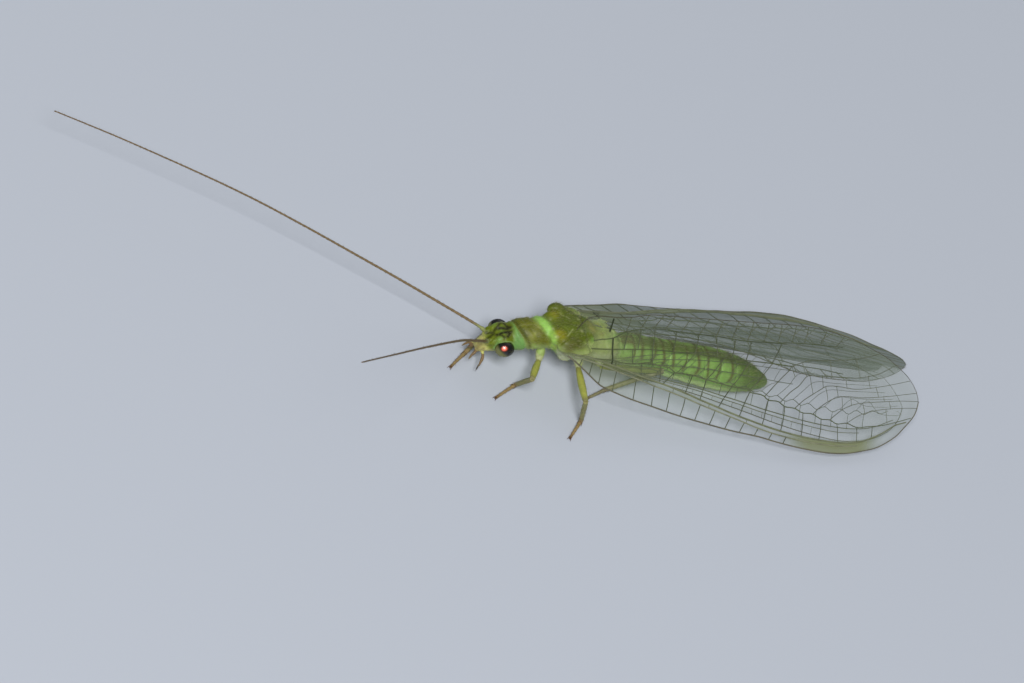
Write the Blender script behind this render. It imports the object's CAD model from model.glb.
"""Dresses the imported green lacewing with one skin, eyes, feelers, claws, veined wings and bristles.

All shapes are made in millimetres in the insect's own frame: X to the head, Y to its left, and Z up from
the height of the wing hinges. placed() moves a finished mesh into the model's frame, in metres.
"""

import math
import random

import bpy
from bpy.props import FloatProperty, FloatVectorProperty, IntProperty, PointerProperty
from mathutils import Matrix, Vector
from mathutils.kdtree import KDTree


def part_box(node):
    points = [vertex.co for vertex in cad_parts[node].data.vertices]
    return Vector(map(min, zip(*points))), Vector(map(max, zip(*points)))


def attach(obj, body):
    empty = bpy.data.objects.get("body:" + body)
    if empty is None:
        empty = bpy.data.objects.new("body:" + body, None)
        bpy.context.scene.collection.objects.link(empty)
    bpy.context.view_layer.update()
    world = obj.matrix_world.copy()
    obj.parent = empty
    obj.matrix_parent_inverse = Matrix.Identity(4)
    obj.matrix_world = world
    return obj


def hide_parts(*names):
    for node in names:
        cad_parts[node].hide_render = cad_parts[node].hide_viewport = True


bl_info = {
    "name": "Green Lacewing",
    "version": (1, 0, 0),
    "blender": (4, 5, 0),
    "location": "3D View > Sidebar > Lacewing",
    "description": "Builds the skin, eyes, feelers, wings and bristles of a life-size green lacewing",
    "category": "Object",
}

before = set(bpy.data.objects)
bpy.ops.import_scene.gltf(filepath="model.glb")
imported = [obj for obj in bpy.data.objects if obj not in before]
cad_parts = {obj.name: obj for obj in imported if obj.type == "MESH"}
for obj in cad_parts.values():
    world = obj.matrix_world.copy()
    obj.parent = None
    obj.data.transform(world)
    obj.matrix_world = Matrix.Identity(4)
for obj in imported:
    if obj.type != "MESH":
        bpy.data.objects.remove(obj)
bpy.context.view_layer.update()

MM = 0.001
HINGE_HEIGHT = 2.0
SIDES = {"left": 1, "right": -1}
UP = Vector((0, 0, 1))
CURVE_STEPS = 400

# The left eye's solid, and the dome that stands in its place
EYE_CENTRE = Vector((2.79, 0.50, -0.48))
EYE_BULGE = 0.30
DOME_CENTRE = Vector((2.78, 0.52, -0.51))
DOME_RADII = Vector((0.36, 0.26, 0.32))

# The wings' roof, as in the solids
ROOF_SLOPE = math.radians(26.8)
ROOF_PITCH = math.radians(-3.9)
WING_HINGE = Vector((0.70, 1.03, 0.16))
WING_LENGTH = 15.01


def body_shift():
    """Where the insect's own origin lies in the model's frame, in millimetres, found from an eye."""
    low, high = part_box("eye_left")
    across = (low[0] + high[0]) / 2 / MM - EYE_CENTRE.x
    aside = high[1] / MM - EYE_CENTRE.y - EYE_BULGE
    return Vector((across, aside, HINGE_HEIGHT))


SHIFT = body_shift()


# Small helpers for numbers

def smooth_row(rows, t):
    """A row of numbers part of the way down a table, on a smooth curve through the rows."""
    place = max(0.0, min(1.0, t)) * (len(rows) - 1)
    i = min(int(place), len(rows) - 2)
    f = place - i
    before, start = rows[max(i - 1, 0)], rows[i]
    end, after = rows[i + 1], rows[min(i + 2, len(rows) - 1)]
    row = []
    for a, b, c, d in zip(before, start, end, after):
        leave, arrive = (c - a) / 2, (d - b) / 2
        square = 3 * (c - b) - 2 * leave - arrive
        cube = 2 * (b - c) + leave + arrive
        row.append(b + leave * f + square * f * f + cube * f ** 3)
    return row


def value_on(rows, x):
    """The second number of a table at the place x of its first one, joined by straight lines."""
    if x <= rows[0][0]:
        return rows[0][1]
    for low, high in zip(rows, rows[1:]):
        if x <= high[0]:
            part = (x - low[0]) / (high[0] - low[0])
            return low[1] + (high[1] - low[1]) * part
    return rows[-1][1]


def smooth_path(points, spacing):
    """Points at an even spacing on a smooth curve through the given ones."""
    points = [Vector(point) for point in points]
    length = sum((b - a).length for a, b in zip(points, points[1:]))
    fine = [Vector(smooth_row(points, i / CURVE_STEPS)) for i in range(CURVE_STEPS + 1)]
    count = max(2, round(length / spacing))
    reach = [0.0]
    for a, b in zip(fine, fine[1:]):
        reach.append(reach[-1] + (b - a).length)
    path, j = [], 0
    for i in range(count + 1):
        want = reach[-1] * i / count
        while j < len(fine) - 2 and reach[j + 1] < want:
            j += 1
        f = (want - reach[j]) / max(reach[j + 1] - reach[j], 1e-9)
        path.append(fine[j].lerp(fine[j + 1], min(1.0, f)))
    return path


def bump(x, centre, width):
    """A soft hill of height 1 at the centre."""
    return math.exp(-((x - centre) / width) ** 2)


def ramp(x, low, high):
    """0 below low and 1 above high, smooth between."""
    t = max(0.0, min(1.0, (x - low) / (high - low)))
    return t * t * (3 - 2 * t)


def mixed(base, other, amount):
    """The base colour with an amount from 0 to 1 of the other one in it."""
    amount = max(0.0, min(1.0, amount))
    return [a + (b - a) * amount for a, b in zip(base, other)]


def linear(red, green, blue):
    """A colour given as screen values from 0 to 255, as Blender's linear values."""
    def one(value):
        value /= 255
        return value / 12.92 if value <= 0.04045 else ((value + 0.055) / 1.055) ** 2.4
    return [one(red), one(green), one(blue)]


# Helpers for objects

def deselect():
    bpy.ops.object.select_all(action="DESELECT")


def pick(objects):
    deselect()
    for item in objects:
        item.select_set(True)
    bpy.context.view_layer.objects.active = objects[0]


def joined(objects, name):
    pick(objects)
    if len(objects) > 1:
        bpy.ops.object.join()
    whole = bpy.context.view_layer.objects.active
    whole.name = name
    whole.data.name = name
    return whole


def modified(item, kind, **settings):
    """Adds a modifier to the item and applies it."""
    pick([item])
    modifier = item.modifiers.new(kind.title(), kind)
    for key, value in settings.items():
        setattr(modifier, key, value)
    bpy.ops.object.modifier_apply(modifier=modifier.name)


def faced_out(weld=0):
    """Turns the faces of the object in hand outwards, after points closer than the weld are made one."""
    bpy.ops.object.mode_set(mode="EDIT")
    bpy.ops.mesh.select_all(action="SELECT")
    if weld:
        bpy.ops.mesh.remove_doubles(threshold=weld)
    bpy.ops.mesh.normals_make_consistent(inside=False)
    bpy.ops.object.mode_set(mode="OBJECT")


def ball(centre, radii):
    deselect()
    bpy.ops.mesh.primitive_uv_sphere_add(segments=32, ring_count=20, location=centre, scale=radii)
    bpy.ops.object.transform_apply(location=True, rotation=True, scale=True)
    return bpy.context.object


def lofted(rows, sides):
    """A closed body along X: a disc is extruded once for each row, and its rings are set from the table."""
    deselect()
    upright = (0, math.pi / 2, 0)
    bpy.ops.mesh.primitive_circle_add(vertices=sides, radius=1, fill_type="NGON", rotation=upright)
    bpy.ops.object.transform_apply(location=True, rotation=True, scale=True)
    item = bpy.context.object
    bpy.ops.object.mode_set(mode="EDIT")
    bpy.ops.mesh.select_all(action="SELECT")
    for _ in rows[1:]:
        bpy.ops.mesh.extrude_region_move(TRANSFORM_OT_translate={"value": (1, 0, 0)})
    faced_out()
    for vertex in item.data.vertices:
        x, z, half, rise, drop = rows[round(vertex.co.x)]
        angle = math.atan2(vertex.co.z, vertex.co.y)
        tall = rise if math.sin(angle) > 0 else drop
        vertex.co = (x, half * math.cos(angle), z + tall * math.sin(angle))
    return item


def tubes(name, lines, resolution):
    """One mesh of round tubes. Each line is a list of (point, radius)."""
    curve = bpy.data.curves.new(name, "CURVE")
    curve.dimensions = "3D"
    curve.bevel_depth = 1.0
    curve.bevel_resolution = resolution
    curve.use_fill_caps = True
    for line in lines:
        spline = curve.splines.new("POLY")
        spline.points.add(len(line) - 1)
        for spot, (point, radius) in zip(spline.points, line):
            spot.co = (*point, 1)
            spot.radius = radius
    item = bpy.data.objects.new(name, curve)
    bpy.context.collection.objects.link(item)
    pick([item])
    bpy.ops.object.convert(target="MESH")
    faced_out()
    return bpy.context.view_layer.objects.active


def tapered(points, radii, spacing):
    """A line for tubes(): a smooth path, as thick along its length as the row of radii says."""
    path = smooth_path(points, spacing)
    rows = [[radius] for radius in radii]
    return [(point, smooth_row(rows, i / (len(path) - 1))[0]) for i, point in enumerate(path)]


def store_paint(mesh, colours):
    """Stores a colour for each vertex, given as red, green, blue and opacity."""
    layer = mesh.attributes.new("Paint", "FLOAT_COLOR", "POINT")
    layer.data.foreach_set("color", [value for colour in colours for value in colour])


def painted(item, colour_at):
    """Stores a colour for each vertex, worked out from its place."""
    store_paint(item.data, [colour_at(vertex.co) for vertex in item.data.vertices])


def placed(item, name, slot, *nodes):
    """Moves the finished mesh into the model's frame, and tells the frame about it."""
    item.data.transform(Matrix.Scale(MM, 4) @ Matrix.Translation(SHIFT))
    item.name = name
    item.data.name = name
    pick([item])
    bpy.ops.object.shade_smooth()
    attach(item, "root")
    if nodes:
        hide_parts(*nodes)


# Materials

GRAIN_SCALE = 8000.0
GRAIN_SPREAD = 0.6
# How much finer the second layer of grain is
FINE_GRAIN = 3.5
# A membrane seen at a slant holds back light as if it were thicker by this power of the slant
SLANT_POWER = 1.6
LEAST_FACING = 0.08


def feed(tree, node, inputs):
    """Joins a node's inputs to sockets, or gives them plain values."""
    for name, value in inputs.items():
        if isinstance(value, bpy.types.NodeSocket):
            tree.links.new(value, node.inputs[name])
        else:
            node.inputs[name].default_value = value


def wired(tree, kind, inputs, **settings):
    """Adds a node with its settings and inputs, and gives back its outputs."""
    node = tree.nodes.new(kind)
    for key, value in settings.items():
        setattr(node, key, value)
    feed(tree, node, inputs)
    return node.outputs


def maths(tree, operation, *values, clamp=False):
    """The result of a sum on sockets and plain values."""
    inputs = dict(enumerate(values))
    return wired(tree, "ShaderNodeMath", inputs, operation=operation, use_clamp=clamp)[0]


def new_material(name):
    """A new material with its node tree and its shader."""
    material = bpy.data.materials.new(name)
    material.use_nodes = True
    tree = material.node_tree
    return material, tree, tree.nodes["Principled BSDF"]


def grain_group():
    """Fine mottling that every cuticle shares, built once: a colour factor and a height."""
    if "Cuticle Grain" in bpy.data.node_groups:
        return bpy.data.node_groups["Cuticle Grain"]
    tree = bpy.data.node_groups.new("Cuticle Grain", "ShaderNodeTree")
    for name, start in (("Scale", GRAIN_SCALE), ("Spread", GRAIN_SPREAD)):
        socket = tree.interface.new_socket(name, in_out="INPUT", socket_type="NodeSocketFloat")
        socket.default_value = start
    for name in ("Shade", "Height"):
        tree.interface.new_socket(name, in_out="OUTPUT", socket_type="NodeSocketFloat")
    entry = wired(tree, "NodeGroupInput", {})
    place = wired(tree, "ShaderNodeTexCoord", {})["Object"]
    noise = {"Vector": place, "Scale": entry["Scale"], "Detail": 4.0}
    coarse = wired(tree, "ShaderNodeTexNoise", noise)["Fac"]
    finer = maths(tree, "MULTIPLY", entry["Scale"], FINE_GRAIN)
    fine = wired(tree, "ShaderNodeTexVoronoi", {"Vector": place, "Scale": finer})["Distance"]
    shade = maths(tree, "MULTIPLY_ADD", maths(tree, "SUBTRACT", coarse, 0.5), entry["Spread"], 1.0)
    height = maths(tree, "ADD", coarse, fine)
    wired(tree, "NodeGroupOutput", {"Shade": shade, "Height": height})
    return tree


def painted_material(name, spread=GRAIN_SPREAD, scale=GRAIN_SCALE, height=0.00001, roughness=0.50,
                     coat=0.05, subsurface=0.0):
    """A satin cuticle: the painted colour, mottled, with a fine bump under a thin gloss."""
    material, tree, shader = new_material(name)
    paint = wired(tree, "ShaderNodeVertexColor", {}, layer_name="Paint")["Color"]
    mottle = wired(tree, "ShaderNodeGroup", {}, node_tree=grain_group())
    feed(tree, mottle["Shade"].node, {"Scale": scale, "Spread": spread})
    shaded = wired(tree, "ShaderNodeVectorMath", {0: paint, "Scale": mottle["Shade"]}, operation="SCALE")
    bumps = {"Strength": 0.5, "Distance": height, "Height": mottle["Height"]}
    feed(tree, shader, {
        "Base Color": shaded[0],
        "Normal": wired(tree, "ShaderNodeBump", bumps)[0],
        "Roughness": roughness,
        "Specular IOR Level": 0.30,
        "Coat Weight": coat,
        "Coat Roughness": 0.25,
        "Subsurface Weight": subsurface,
        "Subsurface Radius": (0.6, 1.0, 0.3),
        "Subsurface Scale": 0.0002,
    })
    return material


def membrane_material():
    """Clear wing membrane: like any thin film, it holds back more light the more it is seen edge on."""
    material, tree, shader = new_material("Wing Membrane")
    paint = wired(tree, "ShaderNodeVertexColor", {}, layer_name="Paint")
    facing = wired(tree, "ShaderNodeLayerWeight", {"Blend": 0.5})["Facing"]
    straight = maths(tree, "MAXIMUM", maths(tree, "SUBTRACT", 1.0, facing), LEAST_FACING)
    longer = maths(tree, "POWER", maths(tree, "DIVIDE", 1.0, straight), SLANT_POWER)
    passed = maths(tree, "POWER", maths(tree, "SUBTRACT", 1.0, paint["Alpha"]), longer)
    feed(tree, shader, {
        "Base Color": paint["Color"],
        "Alpha": maths(tree, "SUBTRACT", 1.0, passed, clamp=True),
        "Roughness": 0.25,
        "Specular IOR Level": 0.35,
    })
    return material


def eye_material():
    """Dark glossy domes with a fine bump."""
    material, tree, shader = new_material("Eye")
    place = wired(tree, "ShaderNodeTexCoord", {})["Object"]
    pits = wired(tree, "ShaderNodeTexNoise", {"Vector": place, "Scale": 60000.0})["Fac"]
    bumps = {"Strength": 0.15, "Distance": 0.000002, "Height": pits}
    feed(tree, shader, {
        "Base Color": wired(tree, "ShaderNodeVertexColor", {}, layer_name="Paint")["Color"],
        "Normal": wired(tree, "ShaderNodeBump", bumps)[0],
        "Roughness": 0.22,
        "Coat Weight": 0.4,
        "Coat Roughness": 0.08,
    })
    return material


# The body: its rows are place along X, height of the widest line, half width, rise and drop

TRUNK_ROWS = [
    [-1.95, -0.40, 0.42, 0.34, 0.44],
    [-1.80, -0.34, 0.43, 0.35, 0.45],
    [-1.66, -0.26, 0.52, 0.40, 0.54],
    [-1.48, -0.18, 0.66, 0.48, 0.70],
    [-1.15, -0.10, 0.74, 0.54, 0.83],
    [-0.88, -0.06, 0.74, 0.53, 0.83],
    [-0.68, -0.02, 0.70, 0.47, 0.76],
    [-0.52, 0.03, 0.74, 0.46, 0.77],
    [-0.36, 0.04, 0.81, 0.50, 0.88],
    [0.05, 0.06, 0.86, 0.52, 0.93],
    [0.50, 0.08, 0.84, 0.52, 0.83],
    [0.82, 0.09, 0.75, 0.46, 0.66],
    [1.00, 0.07, 0.65, 0.44, 0.58],
    [1.16, 0.04, 0.61, 0.44, 0.53],
    [1.34, 0.01, 0.61, 0.48, 0.52],
    [1.50, -0.02, 0.57, 0.42, 0.50],
    [1.62, -0.05, 0.58, 0.46, 0.50],
    [1.88, -0.12, 0.58, 0.46, 0.50],
    [2.06, -0.18, 0.57, 0.46, 0.47],
    [2.20, -0.25, 0.53, 0.42, 0.43],
    [2.32, -0.32, 0.51, 0.41, 0.41],
    [2.43, -0.38, 0.50, 0.41, 0.42],
    [2.55, -0.42, 0.48, 0.38, 0.45],
    [2.72, -0.46, 0.46, 0.38, 0.50],
    [3.00, -0.51, 0.44, 0.37, 0.50],
    [3.20, -0.62, 0.40, 0.32, 0.44],
    [3.36, -0.78, 0.34, 0.23, 0.32],
    [3.48, -0.91, 0.26, 0.16, 0.23],
    [3.58, -1.02, 0.16, 0.09, 0.13],
]
ABDOMEN_ROWS = [
    [-8.66, -1.60, 0.05, 0.05, 0.05],
    [-8.55, -1.58, 0.17, 0.17, 0.18],
    [-8.30, -1.53, 0.31, 0.31, 0.32],
    [-7.90, -1.44, 0.47, 0.46, 0.47],
    [-7.40, -1.34, 0.60, 0.58, 0.60],
    [-6.80, -1.22, 0.68, 0.66, 0.72],
    [-6.00, -1.07, 0.71, 0.69, 0.76],
    [-4.60, -0.83, 0.66, 0.63, 0.70],
    [-3.30, -0.62, 0.60, 0.54, 0.62],
    [-2.20, -0.44, 0.54, 0.47, 0.56],
    [-1.85, -0.37, 0.46, 0.38, 0.47],
]
# Where the regions of the body end, going back: shield, middle back and hind back, then the abdomen
SHIELD_END = 1.05
MIDDLE_BACK_END = -0.62
HIND_BACK_END = -1.66
WAIST = -1.95
HEAD_START = 2.40
TRUNK_STEPS = 90
ABDOMEN_STEPS = 70
RING_SIDES = 48
# How far the rings of neck and shield turn to the left and lean forward
RING_TURN = 0.36
RING_LEAN = 0.42
# Bristles keep off the rims of the eyes and the belly's underside
BARE_EYE_RIM = 1.12
BARE_BELOW = -1.75
# The raised lobes of the back and head, each a centre and radii, with its mirror image on the other side
LOBES = [
    [(0.98, 0.41, 0.28), (0.34, 0.31, 0.29)],
    [(0.34, 0.46, 0.28), (0.46, 0.36, 0.27)],
    [(0.58, 0.64, 0.30), (0.42, 0.32, 0.24)],
    [(0.20, 0.84, 0.20), (0.56, 0.24, 0.18)],
    [(-1.10, 0.44, 0.16), (0.30, 0.28, 0.14)],
    [(2.83, 0.25, -0.25), (0.31, 0.23, 0.20)],
    [(2.96, 0.31, -0.28), (0.24, 0.15, 0.16)],
    [(3.20, 0.24, -0.46), (0.18, 0.18, 0.17)],
    [(3.34, 0.21, -0.52), (0.15, 0.14, 0.15)],
    [(0.30, 0.52, -0.40), (0.34, 0.22, 0.38)],
    [(-0.20, 0.50, -0.42), (0.30, 0.22, 0.38)],
    [(-1.15, 0.44, -0.40), (0.30, 0.20, 0.38)],
    [(3.50, 0.09, -1.08), (0.12, 0.07, 0.11)],
]
# Lobes without a mirror image
MIDDLE_LOBES = [
    [(0.66, -0.85, 0.30), (0.36, 0.27, 0.26)],
    [(0.56, 0.80, 0.18), (0.46, 0.24, 0.20)],
    [(-0.50, 0, 0.36), (0.40, 0.34, 0.13)],
    [(-1.36, 0, 0.22), (0.26, 0.28, 0.14)],
    [(3.44, 0, -0.98), (0.16, 0.17, 0.13)],
    [(3.00, 0, -0.98), (0.30, 0.22, 0.14)],
]

# The legs' joints from inside the body to the toe, in heights above the floor
LEG_JOINTS = {
    "fore_left": [(1.24, 0.28, 1.55), (1.24, 0.60, 1.12), (2.01, 1.80, 1.46), (1.87, 1.02, 0.20),
                  (2.75, 1.58, 0.07)],
    "fore_right": [(1.60, -0.28, 1.47), (1.60, -0.58, 1.04), (2.66, -0.98, 0.66), (3.55, -0.30, 0.18),
                   (4.23, 0.30, 0.07)],
    "mid_left": [(-0.28, 0.40, 1.50), (-0.30, 0.82, 1.16), (0.10, 2.69, 1.50), (-0.39, 2.47, 0.20),
                 (0.18, 3.17, 0.07)],
    "mid_right": [(-0.12, -0.42, 1.45), (-0.12, -0.88, 1.02), (-0.80, -2.05, 0.88), (-1.90, -2.62, 0.20),
                  (-2.85, -2.55, 0.07)],
    "hind_left": [(-1.15, 0.40, 1.40), (-1.18, 0.74, 1.28), (-3.56, 0.94, 1.55), (-1.90, 0.86, 0.20),
                  (-1.05, 1.26, 0.07)],
    "hind_right": [(-1.15, -0.33, 1.25), (-1.15, -0.70, 0.82), (-3.25, -1.14, 1.18), (-4.25, -1.12, 0.20),
                   (-5.20, -1.36, 0.07)],
}
COXA_RADII = [0.15, 0.17, 0.12]
THIGH_RADII = [0.095, 0.125, 0.135, 0.120, 0.095]
SHIN_RADII = [0.092, 0.098, 0.090, 0.086]
LEG_BOW = 0.03
FOOT_RADIUS = 0.066
FOOT_JOINTS = 5

# The palps beside the mouth, in heights from the hinge line
PALP_RADII = [0.075, 0.06, 0.07, 0.055, 0.05, 0.02]
PALPS = {
    "left": [(3.36, 0.18, -1.04), (3.28, 0.36, -1.28), (3.48, 0.66, -1.66)],
    "left inner": [(3.42, 0.10, -1.08), (3.64, 0.20, -1.32), (3.74, 0.30, -1.50)],
    "right": [(3.42, -0.14, -1.02), (3.64, -0.28, -1.14), (3.87, -0.31, -1.48)],
    "right inner": [(3.42, -0.10, -1.08), (3.60, -0.22, -1.34), (3.56, -0.34, -1.56)],
}


def ring_fades(x):
    """How much the rings of neck and shield turn and lean at a place along the body."""
    turn = RING_TURN * ramp(x, 0.80, 1.35) * ramp(2.85 - x, 0, 0.45)
    lean = RING_LEAN * ramp(x, 1.20, 2.00) * ramp(2.75 - x, 0, 0.40)
    return turn, lean


def ring_place(x, y, z):
    """The ring of neck or shield on which a point of the surface lies, as its place along the middle."""
    turn, lean = ring_fades(x)
    return x + turn * y - lean * (z - middle_height(x))


def middle_height(x):
    return value_on(TRUNK_ROWS, x)


def above_hinge(point):
    return Vector((point[0], point[1], point[2] - HINGE_HEIGHT))


def bristled(item):
    """Marks where bristles may stand on the skin: off the eyes and clear of the floor."""
    layer = item.data.attributes.new("Bristled", "FLOAT", "POINT")
    values = []
    for vertex in item.data.vertices:
        clear = eye_nearness(*vertex.co) > BARE_EYE_RIM and vertex.co.z > BARE_BELOW
        values.append(1.0 if clear else 0.0)
    layer.data.foreach_set("value", values)


def trunk_mesh(voxel):
    """Head, thorax, abdomen, hips and palps melted into one closed surface."""
    trunk = [smooth_row(TRUNK_ROWS, i / TRUNK_STEPS) for i in range(TRUNK_STEPS + 1)]
    tail = [smooth_row(ABDOMEN_ROWS, i / ABDOMEN_STEPS) for i in range(ABDOMEN_STEPS + 1)]
    body = lofted(trunk, RING_SIDES)
    for vertex in body.data.vertices:
        x, y, z = vertex.co
        turn, lean = ring_fades(x)
        vertex.co.x = x - turn * y + lean * (z - middle_height(x))
    pieces = [body, lofted(tail, RING_SIDES)]
    for centre, radii in MIDDLE_LOBES:
        pieces.append(ball(centre, radii))
    for side in SIDES.values():
        for (x, y, z), radii in LOBES:
            pieces.append(ball((x, side * y, z), radii))
    lines = []
    for joints in LEG_JOINTS.values():
        lines.append(tapered([above_hinge(joint) for joint in joints[:2]], COXA_RADII, 0.08))
    for points in PALPS.values():
        lines.append(tapered(points, PALP_RADII, 0.06))
    pieces.append(tubes("hips", lines, 6))
    whole = joined(pieces, "trunk")
    modified(whole, "REMESH", mode="VOXEL", voxel_size=voxel)
    modified(whole, "SMOOTH", factor=0.5, iterations=9)
    return whole


# Where the plates of the abdomen meet, from the waist to the tip
SEGMENT_EDGES = [WAIST, -2.45, -3.15, -3.90, -4.66, -5.42, -6.16, -6.88, -7.52, -8.08, -8.66]
BAR_PLACES = [-2.36, -2.76, -3.24, -3.62, -4.10, -4.60, -5.12, -5.60, -6.08, -6.62]


def belly_axis(x):
    return value_on(ABDOMEN_ROWS, x)


def band_centre(z):
    """The ring of the bright collar between shield and back, which runs backwards down the sides."""
    return 1.41 - 0.60 * max(0.0, 0.42 - z)


def segment_relief(x):
    """How far the abdomen's surface stands out: plates that swell and step in where they meet."""
    for front, rear in zip(SEGMENT_EDGES, SEGMENT_EDGES[1:]):
        if rear <= x <= front:
            part = (front - x) / (front - rear)
            edge = 0.040 * bump(front - x, 0, 0.05)
            return 0.022 * math.sin(math.pi * part) - edge + 0.012 * ramp(part, 0.5, 0.95)
    return 0.0


def eye_nearness(x, y, z):
    """1 on the surface of the nearer eye, and more outside it."""
    across = (x - DOME_CENTRE.x) / DOME_RADII.x
    aside = (abs(y) - DOME_CENTRE.y) / DOME_RADII.y
    high = (z - DOME_CENTRE.z) / DOME_RADII.z
    return math.sqrt(across * across + aside * aside + high * high)


def carve(item):
    """Presses the seams of the plates and the furrows of the back into the skin."""
    ways = [vertex.normal.copy() for vertex in item.data.vertices]
    for vertex, way in zip(item.data.vertices, ways):
        vertex.co += way * relief_at(*vertex.co)
        if vertex.co.z < -HINGE_HEIGHT:
            vertex.co.z = -HINGE_HEIGHT


# Furrows of each region. Four weights on x, distance aside, z and ring give a measure. A furrow runs where
# the measure has a set value, with a width, and a height that is negative where the skin is pressed in.
# It fades in between two heights.
ALL_HEIGHTS = (-9.0, -8.0)
FURROWS = {
    "shield": [
        [(0, 0, 0, 1), 1.86, 0.050, -0.020, (-0.10, 0.25)],
        [(0, 0, 0, 1), 2.24, 0.045, -0.040, ALL_HEIGHTS],
        [(0, 0, 0, 1), 2.36, 0.060, 0.020, ALL_HEIGHTS],
        [(0, 1, 0, 0), 0.00, 0.040, -0.016, (0.00, 0.10)],
    ],
    "middle back": [
        [(1, 0.22, 0, 0), -0.02, 0.045, -0.030, ALL_HEIGHTS],
        [(0.25, 1, 0, 0), 0.66, 0.035, -0.022, (0.20, 0.35)],
    ],
    "hind back": [
        [(0, 1, 0, 0), 0.00, 0.040, -0.025, ALL_HEIGHTS],
        [(1, 0.2, 0, 0), -0.86, 0.040, -0.026, ALL_HEIGHTS],
        [(1, -0.3, 0, 0), -1.40, 0.040, -0.020, ALL_HEIGHTS],
    ],
    "crown": [
        [(0, 1, 0, 0), 0.00, 0.030, -0.020, (-0.40, -0.20)],
        [(1, 0.35, 0, 0), 3.06, 0.035, -0.018, (-0.40, -0.20)],
    ],
    "cheek": [
        [(1, 0, 0.25, 0), 3.20, 0.030, -0.022, ALL_HEIGHTS],
    ],
    "flank": [
        [(1, 0, -0.25, 0), 0.12, 0.035, -0.026, ALL_HEIGHTS],
        [(1, 0, -0.20, 0), -0.62, 0.050, -0.026, ALL_HEIGHTS],
    ],
}
# The height at which the crown turns into the cheeks, and where the feelers stand, as x and distance aside
CROWN_EDGE = -0.55
FEELER_ROOT = (3.36, 0.21)


def furrowed(region, measures):
    """How far the furrows of a region move the skin at a place."""
    out = 0.0
    for weights, value, width, height, fade in FURROWS[region]:
        measure = sum(weight * part for weight, part in zip(weights, measures))
        out += height * bump(measure, value, width) * ramp(measures[2], *fade)
    return out


def belly_relief(x, side, z):
    """The abdomen's plates, the seam along its flank and the fine folds of its soft underside."""
    seam = belly_axis(x) - 0.18
    line = 0.028 * bump(z, seam, 0.06) * ramp(side, 0.25, 0.45)
    return segment_relief(x) - line + 0.006 * math.sin(x * 40 + z * 9) * ramp(seam - z, 0, 0.2)


def shield_relief(y, z, ring):
    """The groove behind the collar and the cross wrinkles of the shield."""
    wrinkles = math.sin(ring * 24 + math.sin(y * 9)) * ramp(z, -0.1, 0.2) * ramp(2.2 - ring, 0, 0.1)
    return 0.005 * wrinkles - 0.034 * bump(ring, band_centre(z) + 0.24, 0.035)


def back_relief(x, side):
    """The furrow between the two halves of the back, and the rims of its two front lobes."""
    rim = math.hypot((x - 1.00) / 0.36, (side - 0.42) / 0.34)
    return -0.034 * bump(side, 0, 0.05) * ramp(x, -0.1, 0.1) - 0.030 * bump(rim, 1.0, 0.12)


def head_relief(x, y, z):
    """The raised rims of the eyes and of the hollows in which the feelers stand."""
    side = abs(y)
    hollow = math.hypot(x - FEELER_ROOT[0], side - FEELER_ROOT[1])
    collar = 0.022 * bump(hollow, 0.15, 0.035) - 0.030 * bump(hollow, 0.10, 0.030)
    out = 0.020 * bump(eye_nearness(x, y, z), 1.13, 0.06) + collar * ramp(z, -0.60, -0.45)
    if z <= CROWN_EDGE:
        out -= 0.018 * bump(x + 0.10 * side, 3.44, 0.025) * ramp(-z, 0.80, 0.90)
    return out


def relief_at(x, y, z):
    """How far the skin stands out from the plain body at a place on it."""
    side = abs(y)
    if x < WAIST:
        return belly_relief(x, side, z)
    ring = ring_place(x, y, z)
    measures = (x, side, z, ring)
    out = 0.0
    if ring > SHIELD_END and x < HEAD_START + 0.15:
        out = furrowed("shield", measures) + shield_relief(y, z, ring)
    elif MIDDLE_BACK_END < x <= SHIELD_END + 0.25 and z > 0.0:
        out = furrowed("middle back", measures) + back_relief(x, side)
    elif HIND_BACK_END < x <= MIDDLE_BACK_END and z > -0.1:
        out = furrowed("hind back", measures)
    elif x > HEAD_START:
        out = furrowed("crown" if z > CROWN_EDGE else "cheek", measures) + head_relief(x, y, z)
    if z < -0.1 and -1.6 < x < 1.0:
        out += furrowed("flank", measures)
    return out


GREENS = {
    "head": linear(100, 113, 16),
    "head dark": linear(74, 84, 0),
    "face": linear(192, 190, 112),
    "mark": linear(34, 32, 2),
    "rim": linear(140, 180, 118),
    "red mark": linear(112, 72, 48),
    "neck": linear(110, 152, 78),
    "neck dark": linear(70, 76, 20),
    "shield": linear(96, 100, 22),
    "shield light": linear(134, 138, 62),
    "shield low": linear(152, 174, 98),
    "band": linear(146, 192, 88),
    "back": linear(86, 100, 14),
    "lobe": linear(134, 132, 24),
    "blob": linear(148, 144, 56),
    "patch": linear(108, 160, 62),
    "pale": linear(170, 176, 120),
    "shoulder": linear(86, 86, 38),
    "side": linear(162, 178, 108),
    "pleura": linear(190, 198, 160),
    "hind": linear(116, 130, 36),
    "belly": linear(126, 164, 76),
    "belly low": linear(192, 218, 140),
    "bar": linear(78, 60, 20),
    "ridge": linear(70, 76, 26),
    "tip": linear(84, 106, 36),
    "hip": linear(160, 164, 100),
    "palp": linear(122, 98, 66),
    "palp tip": linear(48, 32, 24),
}
# Marks of the crown, each from one (x, y) to another, with its width and how strong it is
CROWN_MARKS = [
    ((3.39, 0.13), (3.19, 0.03), 0.050, 0.8),
    ((3.13, 0.11), (2.92, 0.34), 0.050, 0.9),
    ((3.01, 0.12), (2.70, 0.07), 0.065, 1.1),
    ((2.81, 0.31), (2.62, 0.08), 0.060, 1.0),
]
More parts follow.
